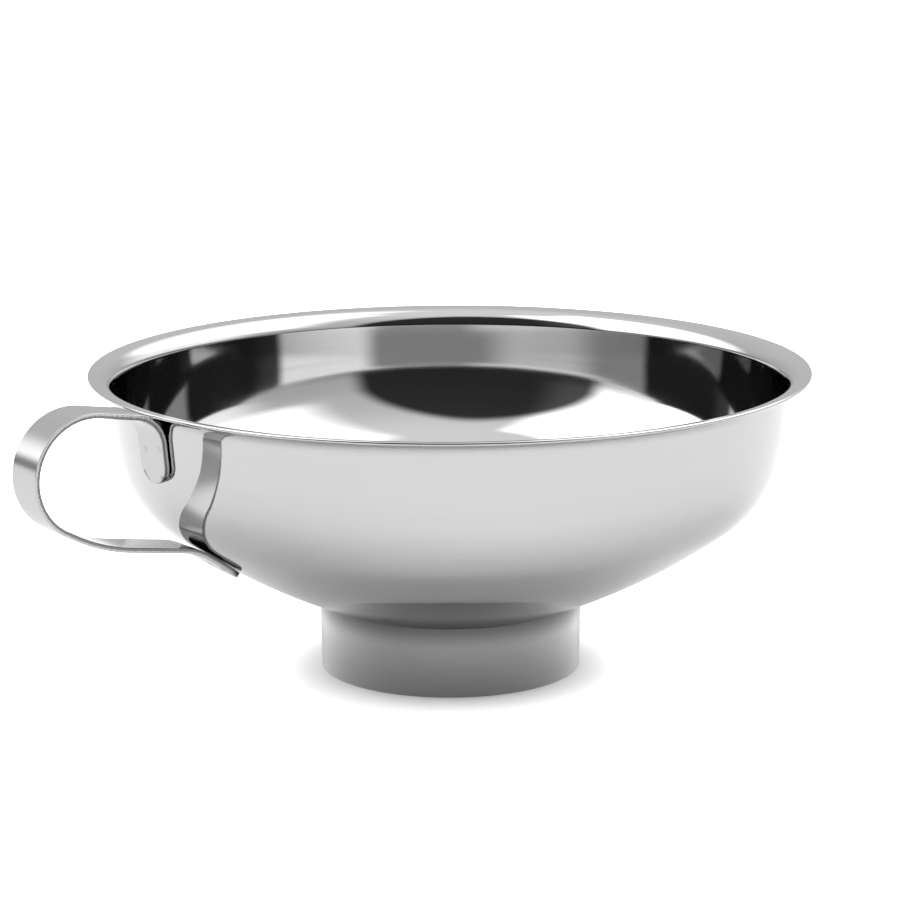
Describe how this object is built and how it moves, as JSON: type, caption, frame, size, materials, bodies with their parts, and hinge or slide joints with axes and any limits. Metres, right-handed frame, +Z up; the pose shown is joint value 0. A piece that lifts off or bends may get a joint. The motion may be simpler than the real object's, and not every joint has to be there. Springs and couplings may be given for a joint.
{
  "type": "canning funnel",
  "caption": "Wide steel canning funnel: a shallow round bowl with a flared lip on a short straight neck, with a flat strap finger loop welded to its side.",
  "frame": {"origin": "on the standing plane, under the middle of the overall box; the funnel's own axis is 11.1 mm from it towards +X", "axes": "+Z up along the funnel's axis, out of the bowl's mouth; the handle points along -X"},
  "size_m": [0.1622, 0.14, 0.0604],
  "materials": {
    "bowl_steel": "mirror-polished stainless steel with fine rings left by polishing on a lathe",
    "neck_steel": "bright stainless steel, polished round, a little duller than the bowl",
    "strap_steel": "bright rolled stainless strip with finely sheared edges",
    "weld_steel": "small dull spot-weld marks"
  },
  "bodies": {
    "root": {"bowl": "bowl_steel", "neck": "neck_steel", "strap_handle": "strap_steel", "upper_spot_weld_near": "weld_steel", "upper_spot_weld_far": "weld_steel", "lower_spot_weld_near": "weld_steel", "lower_spot_weld_far": "weld_steel"}
  },
  "joints": []
}
